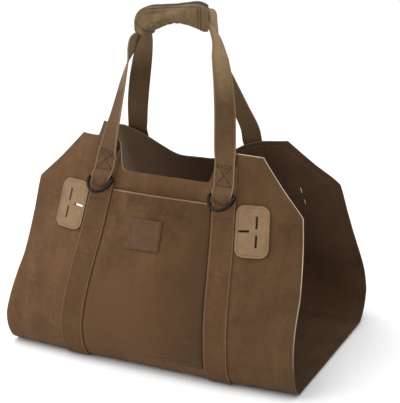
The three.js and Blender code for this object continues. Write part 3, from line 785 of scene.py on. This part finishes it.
# Lash patches
# Tan leather, 46 by 72 mm and 2 mm thick, punched with three slots for lashing straps. Each is sewn to a
# wall outside a strap, and the slots go on through the canvas.
PATCH_SEAT = 0.7
LEATHER_THICK = 2.0
PATCH_FACE = PATCH_SEAT + LEATHER_THICK
PATCH_COLUMNS, PATCH_ROWS = 26, 40
PATCH_SEAM = 3.5
LONG_STEPS, SHORT_STEPS = 60, 12

tan_leather = leather(
    "vegetable tanned leather, tan", "#765c41", "#856b4d", "#5f4a34",
    burnt_width=1.3, size=(PATCH_WIDTH, PATCH_LENGTH), grain_size=1.6,
)
border_parts = np.concatenate([
    [(1, along) for along in np.linspace(-1, 1, LONG_STEPS)],
    [(across, 1) for across in np.linspace(1, -1, SHORT_STEPS)],
    [(-1, along) for along in np.linspace(1, -1, LONG_STEPS)],
    [(across, -1) for across in np.linspace(-1, 1, SHORT_STEPS)],
])
seam_out, seam_down = rounded_spot(
    *border_parts.T, PATCH_WIDTH - 2 * PATCH_SEAM, PATCH_LENGTH - 2 * PATCH_SEAM, PATCH_CORNER - PATCH_SEAM,
)
patch_seams = []
for wall, side in CORNERS:

    def patch_spot(across, along):
        out, down = rounded_spot(across, along, PATCH_WIDTH, PATCH_LENGTH, PATCH_CORNER)
        s = below(wall, PATCH_DROP[wall] - wall * down)
        return patch_x(side, s) + out, s

    patch = cut_cloth(
        f"leather_patch_{CORNER_NAME[wall, side]}", PATCH_COLUMNS, PATCH_ROWS, patch_spot,
        lambda x, s: place(x, s, PATCH_FACE),
        pattern=lambda x, s: (x - patch_x(side, s), wall_length(wall) - np.abs(s) - PATCH_DROP[wall]),
        slots=lash_slots(wall, side),
    )
    finish_cut(patch, [tan_leather], LEATHER_THICK, rounding=0.5)
    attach(patch, "bag")
    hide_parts(f"lash_patch_{CORNER_NAME[wall, side]}")
    s = below(wall, PATCH_DROP[wall] + seam_down)
    patch_seams.append(laid_seam(patch_x(side, s) + seam_out, s, PATCH_FACE + STITCH_RISE / 2))
sew("patch_stitching", patch_seams, thread)

# D-rings
# Bent from 4.5 mm steel wire, welded and coated black. The straight bar is trapped in the handle's loop, and
# the round side stands out from the wall.
RING_HALF, RING_FALL, RING_BEND, WIRE = 18.4, 26, 3.5, 4.5
RING_CLEAR = 0.35
RING_DROP = 58
RING_SWING = 40
RETURN_LAYER = 2 * SEAT_GAP + 1.5 * STRAP_THICK
LOOP_RADIUS = (WIRE + STRAP_THICK) / 2 + RING_CLEAR
BAR_LAYER = RETURN_LAYER + LOOP_RADIUS
LYING_LAYER = STRAP_THICK + 2 * SEAT_GAP + WIRE / 2

# Black coated steel: a smooth dark skin over bright metal. It mirrors the light in a sharp streak, and the
# coat is rubbed thin in small spots.
WEAR_SIZE = 4
black_steel = shader("coated steel, black", Metallic=1.0)
wearing = {"Vector": node(black_steel, "TexCoord")["Object"], "Scale": 1 / (WEAR_SIZE * MM), "Detail": 4}
wear = node(black_steel, "TexNoise", wearing)["Fac"]
coat = node(black_steel, "ValToRGB", {"Fac": wear}, [(0.4, linear("#1c1a18")), (0.75, linear("#302d2a"))])
polish = node(black_steel, "MapRange", {"Value": wear, "To Min": 0.24, "To Max": 0.46})
join(black_steel, Base_Color=coat["Color"], Roughness=polish["Result"])

arc = np.linspace(0, math.pi, 33)
bend = np.linspace(0, math.pi / 2, 7)[1:]
ring_line = np.concatenate([
    np.stack([RING_HALF * np.cos(arc), -RING_BEND - (RING_FALL - RING_BEND) * np.sin(arc)], 1),
    np.stack([-RING_HALF + RING_BEND * (1 - np.cos(bend)), -RING_BEND * (1 - np.sin(bend))], 1),
    np.stack([RING_HALF - RING_BEND * (1 - np.cos(bend)), -RING_BEND * (1 - np.sin(bend))], 1)[::-1],
])
for wall, side in CORNERS:
    corner = CORNER_NAME[wall, side]
    wire = bpy.data.curves.new("ring wire", "CURVE")
    wire.dimensions = "3D"
    wire.bevel_depth = WIRE / 2 * MM
    wire.bevel_resolution = 4
    spline = wire.splines.new("POLY")
    spline.points.add(len(ring_line) - 1)
    for point, (x, z) in zip(spline.points, ring_line):
        point.co = x * MM, 0, z * MM, 1
    spline.use_cyclic_u = True
    bent = bpy.data.objects.new("ring wire", wire)
    mesh = bpy.data.meshes.new_from_object(bent)
    bpy.data.objects.remove(bent)
    bpy.data.curves.remove(wire)
    joint = next(j for j in frame["joints"] if j["child"] == f"ring_{corner}")
    pivot = Vector(joint["pos_m"])
    low = below(wall, RING_DROP + RING_FALL)
    down = Vector(place(strap_x(side, below(wall, RING_DROP)), low, LYING_LAYER) * MM) - pivot
    lean = math.atan2(down.y, -down.z) + wall * math.radians(RING_SWING)
    mesh.transform(Matrix.Translation(pivot) @ Matrix.Rotation(lean, 4, "X"))
    mesh.shade_smooth()
    mesh.materials.clear()
    mesh.materials.append(black_steel)
    ring = add_object(f"steel_d_ring_{corner}", mesh)
    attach(ring, f"ring_{corner}")
    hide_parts(f"d_ring_{corner}")

# Handles
# Folded canvas straps, 30 mm wide, one for each wall. An end goes down round a ring's bar and is sewn back
# on itself with a boxed cross, and the middle of both straps is rolled narrow inside the grip.
HANDLE_WIDTH = 30
HANDLE_COLUMNS = 12
# Rows of a sewn end: turned up behind, round the bar, and on each of two stretches up the front
RETURN_ROWS, LOOP_ROWS, FRONT_ROWS = 8, 15, 8
BAR_ROW = RETURN_ROWS + LOOP_ROWS
RETURN_STEP, RETURN_STOP, LOOP_FLAT_DROP = 4, 12, 47
FRONT_LAYER = RETURN_LAYER + SEAT_GAP + STRAP_THICK
LOOP_SLACK, LOOP_GATHER, LOOP_ROUND, LOOP_BULGE = 11, 0.25, 6, 0.3
SEAM_DROP = {(FRONT, LEFT): 29, (FRONT, RIGHT): 13, (BACK, LEFT): 13, (BACK, RIGHT): 13}
# Free run of each handle from left to right: x, y, z, bearing of its width, width, thickness
FREE_RUN = {
    FRONT: [
        (-86, -86.5, 300, -14, 30, 2),
        (-84.5, -79, 322, -26, 30, 2),
        (-82, -70, 345, -37, 30, 2),
        (-79.5, -61, 370, -46, 30, 2),
        (-77, -52, 395, -54, 30, 2),
        (-72.7, -45, 420, -68, 30, 2),
        (-68.6, -40, 441, -93, 29, 2),
        (-65.6, -38, 453, -99, 26, 2.5),
        (-60, -35.3, 462, -90, 15.4, 3.5),
        (-49, -35, 476, -90, 15, 4),
        (-32, -35, 483, -90, 15, 4),
        (-12, -35, 488, -90, 15, 4),
        (8, -35, 490, -90, 15, 4),
        (28, -35, 489, -90, 15, 4),
        (40, -35, 483, -90, 15.4, 3.5),
        (50, -35.4, 477, -91, 15.8, 3),
        (57, -36.5, 466, -94, 20, 2.5),
        (61.5, -37, 453, -99, 26, 2),
        (65.5, -41, 436, -111, 30, 2),
        (73.5, -49, 406, -126, 30, 2),
        (82, -61.5, 368, -141, 30, 2),
        (88, -74, 330, -158, 30, 2),
    ],
    BACK: [
        (-82, -0.5, 345, 192, 30, 2),
        (-74, -9, 384, 213, 30, 2),
        (-65, -16.5, 420, 233, 30, 2),
        (-60.4, -18.5, 442, 251, 29, 2),
        (-58.5, -18.7, 454, 257, 24, 2.5),
        (-54, -18.8, 465, 270, 15.4, 3.5),
        (-46, -19, 476.5, 270, 15, 4),
        (-32, -19, 483, 270, 15, 4),
        (-12, -19, 488, 270, 15, 4),
        (8, -19, 490.5, 270, 15, 4),
        (28, -19, 494.5, 270, 15, 4),
        (39, -19, 495.5, 270, 15.4, 3.5),
        (43.5, -17, 489.5, 270, 25, 3),
        (45.5, -16, 473, 271, 26, 2.5),
        (50, -16.5, 455, 286, 27, 2),
        (53.5, -16.5, 435, 308, 30, 2),
        (64.5, -12, 402, 332, 30, 2),
        (80, -4, 360, 348, 30, 2),
        (92.5, 3, 328, 356, 30, 2),
    ],
}
END_BEARINGS = {FRONT: (0, -180), BACK: (180, 360)}
# Steps of the free run, those left out next to the sewn ends, and the part over which its way is measured
FREE_STEPS, END_STEPS, WAY_PART = 180, 3, 1e-4
# Where a strap is narrower than its cloth, its edges are rolled in by a share of a full arc's height, and by
# less where it is folded thick inside the grip
ROLL_SHARE, GRIP_LOSS, GRIP_THICK = 0.25, 0.1, (2.6, 3.6)
# Lines of the boxed cross: both ends, as parts across the strap and distances up from the bar
SEAM_PART = 0.8
BOX_LOW, BOX_HIGH, BOX_DOUBLE = 11, 39, 3
BOX = [
    ((-SEAM_PART, BOX_HIGH), (SEAM_PART, BOX_HIGH)),
    ((-SEAM_PART, BOX_HIGH - BOX_DOUBLE), (SEAM_PART, BOX_HIGH - BOX_DOUBLE)),
    ((-SEAM_PART, BOX_LOW), (SEAM_PART, BOX_LOW)),
    ((-SEAM_PART, BOX_LOW), (SEAM_PART, BOX_HIGH)),
    ((SEAM_PART, BOX_LOW), (-SEAM_PART, BOX_HIGH)),
]
SIDE_STEPS, BOX_STEPS = 400, 12


def anchor(wall, side):
    """Rows of a handle's sewn end, from the end that is turned up behind, round the bar and up the front:
    the outer side's middle, the way across to an edge, the way out, and how far the loop's fold sags."""
    back = np.linspace(STRAP_END_DROP[wall] + RETURN_STEP, RING_DROP - RETURN_STOP, RETURN_ROWS)
    turn = np.linspace(-math.pi / 2, math.pi / 2, LOOP_ROWS)
    closing = np.linspace(RING_DROP, LOOP_FLAT_DROP, FRONT_ROWS + 1)[1:]
    close = smoothstep(closing, LOOP_FLAT_DROP, RING_DROP)
    rise = np.linspace(LOOP_FLAT_DROP, SEAM_DROP[wall, side], FRONT_ROWS + 1)[1:]
    drop = np.concatenate([back, RING_DROP + LOOP_SLACK * np.cos(turn), closing, rise])
    height = np.concatenate([
        np.full(RETURN_ROWS, RETURN_LAYER), BAR_LAYER + LOOP_RADIUS * np.sin(turn),
        FRONT_LAYER + (BAR_LAYER + LOOP_RADIUS - FRONT_LAYER) * close, np.full(FRONT_ROWS, FRONT_LAYER),
    ])
    fold = np.zeros(len(drop))
    fold[RETURN_ROWS:BAR_ROW] = np.cos(turn)
    width = HANDLE_WIDTH * (1 - LOOP_GATHER * fold)
    way = unit(np.stack([np.gradient(drop), np.gradient(height)], 1))
    s = below(wall, drop + way[:, 1] * STRAP_THICK / 2)
    layer = height - way[:, 0] * STRAP_THICK / 2
    x = strap_x(side, below(wall, drop))
    middle = place(x, s, layer)
    edge = (place(x + side * wall * width / 2, s, layer) - place(x - side * wall * width / 2, s, layer)) / 2
    out = middle - place(x, below(wall, drop), height)
    down = place(x, below(wall, drop + 1), layer) - place(x, below(wall, drop), layer)
    sag = down * LOOP_ROUND * fold[:, None]
    return middle, edge, unit(out), sag


def handle_rows(wall):
    """Rows of a whole handle: the outer side's middle, the way across to an edge, the way out, the sag of a
    fold, and how far its edges are rolled in."""
    left, right = anchor(wall, LEFT), [rows[::-1] for rows in anchor(wall, RIGHT)]
    ends = [(*(rows[0][k] - rows[2][k] * STRAP_THICK / 2), bearing, HANDLE_WIDTH, STRAP_THICK)
            for rows, k, bearing in zip((left, right), (-1, 0), END_BEARINGS[wall])]
    table = np.array([ends[0], *FREE_RUN[wall], ends[1]], float)
    parts = np.linspace(0, 1, FREE_STEPS + 1)[END_STEPS:-END_STEPS]
    middle = smooth_line(table[:, :3], parts)
    before, after = (smooth_line(table[:, :3], parts + step) for step in (-WAY_PART, WAY_PART))
    way = unit(after - before)
    bearing, width, thick = smooth_line(table[:, 3:], parts).T
    across = np.stack([np.cos(np.radians(bearing)), np.sin(np.radians(bearing)), 0 * bearing], 1)
    across = unit(across - way * np.sum(across * way, axis=1, keepdims=True))
    out = np.cross(across, way)
    width = np.minimum(width, HANDLE_WIDTH)
    arc_height = np.sqrt(3 / 8 * width * (HANDLE_WIDTH - width))
    roll = arc_height * (ROLL_SHARE - GRIP_LOSS * smoothstep(thick, *GRIP_THICK))
    free = middle + out * thick[:, None] / 2, across * width[:, None] / 2, out, np.zeros(middle.shape)
    still = [np.zeros(len(rows[0])) for rows in (left, right)]
    columns = *zip(left, free, right), (still[0], roll, still[1])
    return [np.concatenate(column) for column in columns]


def handle_point(rows, across, row):
    """Points of a handle's outer side, at parts across its width and numbers of rows along it."""
    middle, edge, out, sag, roll = (
        np.stack([np.interp(row, range(len(column)), column[:, k]) for k in range(column.shape[1])], -1)
        for column in (*rows[:4], rows[4][:, None])
    )
    across = across[:, None]
    return middle + edge * across - out * roll * across ** 2 + sag * (LOOP_BULGE - across ** 2)


# The handle's edges are paler, partly wear on the folded edges and partly a painted highlight. Towards the
# grip the strap turns paler still: painted light where it comes out of the grip and faces up to the light.
handle_canvas = waxed_canvas(
    "waxed canvas handle strap, olive brown", "#4b3622", "#584028", "#684e33",
    across=(HANDLE_WIDTH / 2 - 2.4, HANDLE_WIDTH / 2 - 0.6, "#7b6548"), along=(164, 88, "#8f7858"),
)
# The under side too turns paler towards the grip: painted light where it comes out of the grip, against
# painted shade further down.
handle_inside = waxed_canvas(
    "waxed canvas handle strap, under side", "#4b3823", "#57422a", "#634d33", along=(136, 94, "#6f5b3d"),
)
handle_seams, box_seams = [], []
for wall, wall_name in ((FRONT, "front"), (BACK, "back")):
    rows = handle_rows(wall)
    last = len(rows[0]) - 1
    length = way_along(rows[0])
    handle = cut_cloth(
        f"strap_handle_{wall_name}", HANDLE_COLUMNS, last,
        lambda across, along: (-across, (along + 1) / 2 * last),
        lambda across, row: handle_point(rows, across, row),
        pattern=lambda across, row: (
            across * HANDLE_WIDTH / 2, np.interp(row, range(last + 1), length) - length[-1] / 2),
    )
    finish_cut(handle, [handle_canvas, handle_inside], STRAP_THICK, rounding=0.7, inside=INSIDE)
    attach(handle, "bag")
    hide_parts(f"handle_{wall_name}")

    def handle_seam(across, row):
        points = handle_point(rows, across, row)
        over = np.stack([np.interp(row, range(last + 1), rows[2][:, k]) for k in range(3)], -1)
        return points + over * STITCH_RISE, points + over * (STITCH_RISE + 1)

    free_rows = np.linspace(BAR_ROW + 1, last - BAR_ROW - 1, SIDE_STEPS)
    for part in (-SEAM_PART, SEAM_PART):
        handle_seams.append(handle_seam(np.full(SIDE_STEPS, part), free_rows))
    for bar, way in ((length[BAR_ROW], 1), (length[last - BAR_ROW], -1)):
        for start, end in BOX:
            across, up = np.linspace(start, end, BOX_STEPS).T
            box_seams.append(handle_seam(across, np.interp(bar + way * up, length, range(last + 1))))
sew("handle_stitching", handle_seams, thread)
sew("box_stitching", box_seams, shade_painted_thread, HEAVY_THREAD)

# Grip
# Sleeve of olive-tan waxed canvas, folded round both handles and sewn shut along its upper side and across
# its ends. It is gathered in the middle, where a hand holds it.
WRAP_Y = -27
WRAP_THICK = 2.2
WRAP_AROUND = 104
WRAP_COLUMNS, WRAP_ROWS = 136, 170
# A section lies between round, at 1, and square, at 0
WRAP_ROUND = 0.6
# Sections along the sleeve: x, z, slope of its axis, how far its front leads, half thickness and half depth
WRAP = np.array([
    (-55.8, 460, 67, 0, 10.6, 20),
    (-54.5, 473, 46, 0, 13.8, 20),
    (-48, 477.8, 29, 0, 17.2, 20),
    (-32, 483, 11, 0, 15, 19.5),
    (-12, 488, 12, 1, 12.6, 19),
    (6.5, 490, 6, 3, 13.7, 19),
    (25.5, 489.3, 2, 6, 17.6, 19.5),
    (35, 487, 1, 8, 18.6, 20),
    (41.5, 486, 0, 8.7, 16.6, 19.8),
])
# Seams that sink into the sleeve: turns where the border runs and where the lines across end, parts of the
# sleeve's length where these lie, and the width and depth of the dents
BORDER_TURN, BORDER_END, BORDER_WIDTH = math.pi * 0.74, math.pi * 1.3, 0.07
CROSS_PARTS, CROSS_WIDTH = (0.1, 0.783, 0.83), 0.009
SEAM_DEPTH = 1.2
# Gathers under the sleeve and long creases along its front: height, middle and spread along it, and how
# close they lie. The creases keep to a part of the turn.
GATHER, GATHER_ALONG, GATHER_RATE, GATHER_SKEW = 0.7, (0.45, 0.16), 85, 2
CREASE, CREASE_ALONG, CREASE_RATE = 1.6, (0.42, 0.13), 9
CREASE_START, CREASE_TURN, CREASE_END = 0.7 * math.pi, 0.8 * math.pi, 1.1 * math.pi


def pressed(turn, part):
    """How far the sleeve's seams press in: a border along its upper side, and lines across its ends."""
    border = hump(turn, BORDER_TURN, BORDER_WIDTH) * (part > CROSS_PARTS[0]) * (part < CROSS_PARTS[-1])
    across = sum(hump(part, line, CROSS_WIDTH) for line in CROSS_PARTS)
    return np.maximum(border, across * (turn > BORDER_TURN) * (turn < BORDER_END))


def squarer(value):
    """A sine or cosine of a turn, for a section with fuller corners than a round one."""
    return np.sign(value) * np.abs(value) ** WRAP_ROUND


def wrap_point(turn, part, height):
    """Points of the sleeve at a turn round it and a part of the way along it, at a height over its face."""
    x, z = smooth_line(WRAP[:, :2], part).T
    slope, lead, thick, deep = smooth_line(WRAP[:, 2:], part).T
    slope = np.radians(slope)
    ripple = np.sin(part * GATHER_RATE + GATHER_SKEW * np.sin(turn)) * (1 - np.sin(turn)) / 2
    gather = GATHER * hump(part, *GATHER_ALONG) * ripple
    creased = np.cos((turn - CREASE_TURN) * CREASE_RATE) * (turn > CREASE_START) * (turn < CREASE_END)
    crease = CREASE * hump(part, *CREASE_ALONG) * creased
    height = height + gather + crease - SEAM_DEPTH * pressed(turn, part)
    up = (thick + height) * squarer(np.sin(turn))
    back = squarer(np.cos(turn))
    y = WRAP_Y + (deep + height) * back
    return np.stack([x - up * np.sin(slope) - lead * back, y, z + up * np.cos(slope)], -1)


# The sleeve's widths are measured from the fold along its upper back, which is painted dark as shade along
# the top of the sleeve
TOP_FOLD = 20.5
grip_canvas = waxed_canvas(
    "waxed canvas sleeve, olive tan", "#534029", "#6b563b", "#8c775c", across=(13, 8.5, "#33261a"),
)
wrap_way = np.linspace(0, 1, 200)
wrap_length = way_along(wrap_point(np.full(len(wrap_way), math.pi), wrap_way, 0))
grip = cut_cloth(
    "canvas_grip", WRAP_COLUMNS, WRAP_ROWS,
    lambda across, along: ((across + 1) * math.pi, (along + 1) / 2),
    lambda turn, part: wrap_point(turn, part, 0),
    pattern=lambda turn, part: (
        turn / math.tau * WRAP_AROUND - TOP_FOLD, np.interp(part, wrap_way, wrap_length)),
)
closed = bmesh.new()
closed.from_mesh(grip.data)
bmesh.ops.remove_doubles(closed, verts=closed.verts, dist=1e-5)
bmesh.ops.recalc_face_normals(closed, faces=closed.faces)
closed.to_mesh(grip.data)
closed.free()
finish_cut(grip, [grip_canvas], WRAP_THICK, rounding=0.7)
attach(grip, "bag")
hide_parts("grip_wrap")
STITCH_SINK = 0.1
BORDER_STEPS, LINE_STEPS = 160, 60


def wrap_seam(turn, part):
    return wrap_point(turn, part, -STITCH_SINK), wrap_point(turn, part, 1 - STITCH_SINK)


along_border = np.linspace(CROSS_PARTS[0], CROSS_PARTS[-1], BORDER_STEPS)
over_front = np.linspace(BORDER_TURN, BORDER_END, LINE_STEPS)
grip_seams = [wrap_seam(np.full(BORDER_STEPS, BORDER_TURN), along_border)]
for part in CROSS_PARTS:
    grip_seams.append(wrap_seam(over_front, np.full(LINE_STEPS, part)))
sew("grip_stitching", grip_seams, shade_painted_thread, HEAVY_THREAD)

# Studio
# A pale matt floor that runs out to the horizon, one large soft light overhead, a weaker one low on the
# left, and the camera where the picture was taken from. Sizes here are in metres.
FLOOR_HALF = 8
PAPER_CLOUDS = 3
floor_bm = bmesh.new()
bmesh.ops.create_grid(floor_bm, x_segments=1, y_segments=1, size=FLOOR_HALF)
floor = as_piece("studio_floor", floor_bm)
paper = shader("matt studio paper, pale", Specular_IOR_Level=0.1, Roughness=0.95)
fibres = {"Vector": node(paper, "TexCoord")["Object"], "Scale": PAPER_CLOUDS, "Detail": 3}
fibre = node(paper, "TexNoise", fibres)["Fac"]
white = node(paper, "ValToRGB", {"Fac": fibre}, [(0.3, linear("#f8f8f7")), (0.7, linear("#fbfbfa"))])
join(paper, Base_Color=white["Color"])
floor.data.materials.append(paper)

world = bpy.data.worlds.new("studio")
world.use_nodes = True
world.node_tree.nodes["Background"].inputs["Color"].default_value = linear("#f6f7f9")
world.node_tree.nodes["Background"].inputs["Strength"].default_value = 1.0
bpy.context.scene.world = world
# The point that the lights and the camera face
TARGET = Vector((0.02668, -0.022, 0.21798))
for name, spot, size, power in (
    ("overhead_softbox", (-0.75, -0.7, 2.4), 1.8, 36),
    ("left_softbox", (-2.0, -1.2, 1.0), 1.4, 14),
):
    lamp = bpy.data.lights.new(name, "AREA")
    lamp.size = size
    lamp.energy = power
    light = add_object(name, lamp)
    light.location = spot
    light.rotation_euler = (TARGET - light.location).to_track_quat("-Z", "Y").to_euler()

CAMERA_AZIMUTH, CAMERA_ELEVATION = math.radians(24.74), math.radians(19.53)
CAMERA_DISTANCE = 1.94502
FOCAL_PIXELS, IMAGE_HEIGHT = 1357.43, 403
camera = add_object("camera", bpy.data.cameras.new("camera"))
camera.data.lens = FOCAL_PIXELS / IMAGE_HEIGHT * camera.data.sensor_width
level = math.cos(CAMERA_ELEVATION)
camera.location = TARGET + CAMERA_DISTANCE * Vector((
    math.sin(CAMERA_AZIMUTH) * level, -math.cos(CAMERA_AZIMUTH) * level, math.sin(CAMERA_ELEVATION)))
camera.rotation_euler = (TARGET - camera.location).to_track_quat("-Z", "Y").to_euler()
bpy.context.scene.camera = camera
bpy.context.scene.view_settings.view_transform = "Standard"
